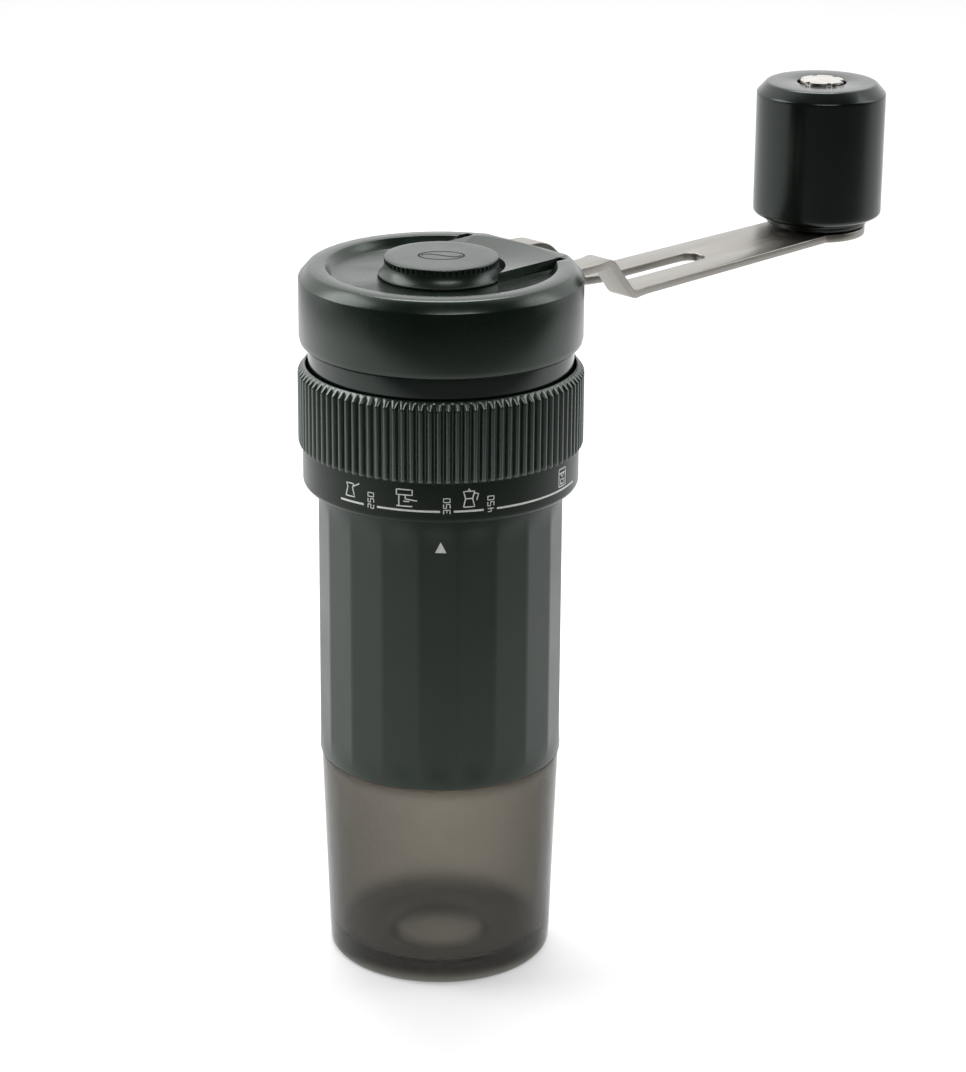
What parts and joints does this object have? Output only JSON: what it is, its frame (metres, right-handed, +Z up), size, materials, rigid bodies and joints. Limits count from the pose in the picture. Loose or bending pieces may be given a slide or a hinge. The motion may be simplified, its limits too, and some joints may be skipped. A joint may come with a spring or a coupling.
{
  "type": "hand crank coffee grinder",
  "caption": "Slim upright hand coffee grinder: smoked jar, faceted grip tube, ribbed adjusting ring and a cap with a side crank and knob.",
  "frame": {"origin": "centre of the flat base of the jar", "axes": "+Z up along the grinder's axis; the pointer mark faces -Y; the crank rests 45 degrees from +X towards +Y"},
  "size_m": [0.1275, 0.1275, 0.1709],
  "materials": {
    "body_plastic": "satin dark grey-green",
    "gloss_plastic": "glossy black",
    "inner_plastic": "matt dark grey",
    "steel": "plain steel",
    "bearing_steel": "polished",
    "burr_steel": "machined steel",
    "cap_plastic": "satin black",
    "lock_plastic": "fine matt black",
    "brushed_steel": "brushed along its length",
    "axle_steel": "turned",
    "knob_plastic": "satin black",
    "bush_brass": "plain",
    "ring_plastic": "fine matt black",
    "smoked_plastic": "smoked, translucent",
    "seal_rubber": "soft black"
  },
  "bodies": {
    "housing": {"body_tube": "body_plastic", "collar": "gloss_plastic", "hopper_liner": "inner_plastic", "liner_screws": "steel", "upper_spider": "inner_plastic", "lower_spider": "inner_plastic", "upper_outer_race": "bearing_steel", "upper_balls": "bearing_steel", "lower_outer_race": "bearing_steel", "lower_balls": "bearing_steel", "click_spring": "steel"},
    "shaft": {"drive_shaft": "steel", "upper_inner_race": "bearing_steel", "lower_inner_race": "bearing_steel", "snap_ring": "steel", "inner_burr": "burr_steel", "burr_washer": "steel", "burr_nut": "steel"},
    "cap": {"cap_shell": "cap_plastic", "drive_socket": "steel", "socket_screws": "steel"},
    "lock": {"lock_knob": "lock_plastic", "lock_stem": "steel"},
    "crank": {"crank_arm": "brushed_steel", "knob_axle": "axle_steel", "axle_washer": "steel"},
    "knob": {"knob_grip": "knob_plastic", "upper_knob_bush": "bush_brass", "lower_knob_bush": "bush_brass"},
    "ring": {"adjusting_ring": "ring_plastic"},
    "carrier": {"burr_carrier": "inner_plastic", "outer_burr": "burr_steel", "burr_screws": "steel"},
    "seal": {"jar_seal": "seal_rubber"},
    "jar": {"jar": "smoked_plastic"}
  },
  "joints": [
    {"name": "crank_turn", "type": "hinge", "parent": "housing", "child": "shaft", "pos_m": [0, 0, 0.11], "axis": [0, 0, 1], "continuous": true},
    {"name": "cap_lift", "type": "slide", "parent": "shaft", "child": "cap", "axis": [0, 0, 1], "range_m": [0, 0.03]},
    {"name": "lock_turn", "type": "hinge", "parent": "cap", "child": "lock", "pos_m": [0, 0, 0.151], "axis": [0, 0, 1], "continuous": true},
    {"name": "crank_pull", "type": "slide", "parent": "cap", "child": "crank", "axis": [0.7071, 0.7071, 0], "range_m": [0, 0.025]},
    {"name": "knob_spin", "type": "hinge", "parent": "crank", "child": "knob", "pos_m": [0.08379, 0.08379, 0.155], "axis": [0, 0, 1], "continuous": true},
    {"name": "ring_turn", "type": "hinge", "parent": "housing", "child": "ring", "pos_m": [0, 0, 0.11], "axis": [0, 0, 1], "range_deg": [-120, 58]},
    {"name": "burr_lift", "type": "slide", "parent": "housing", "child": "carrier", "axis": [0, 0, 1], "range_m": [-0.00024167, 0.0005]},
    {"name": "jar_drop", "type": "slide", "parent": "housing", "child": "seal", "axis": [0, 0, -1], "range_m": [0, 0.014]},
    {"name": "jar_turn", "type": "hinge", "parent": "seal", "child": "jar", "pos_m": [0, 0, 0.02], "axis": [0, 0, -1], "range_deg": [0, 631]}
  ],
  "couplings": [
    {"joint": "ring_turn", "follows": "burr_lift", "rad_per_m": -4188.8},
    {"joint": "jar_turn", "follows": "jar_drop", "rad_per_m": 785.4}
  ]
}
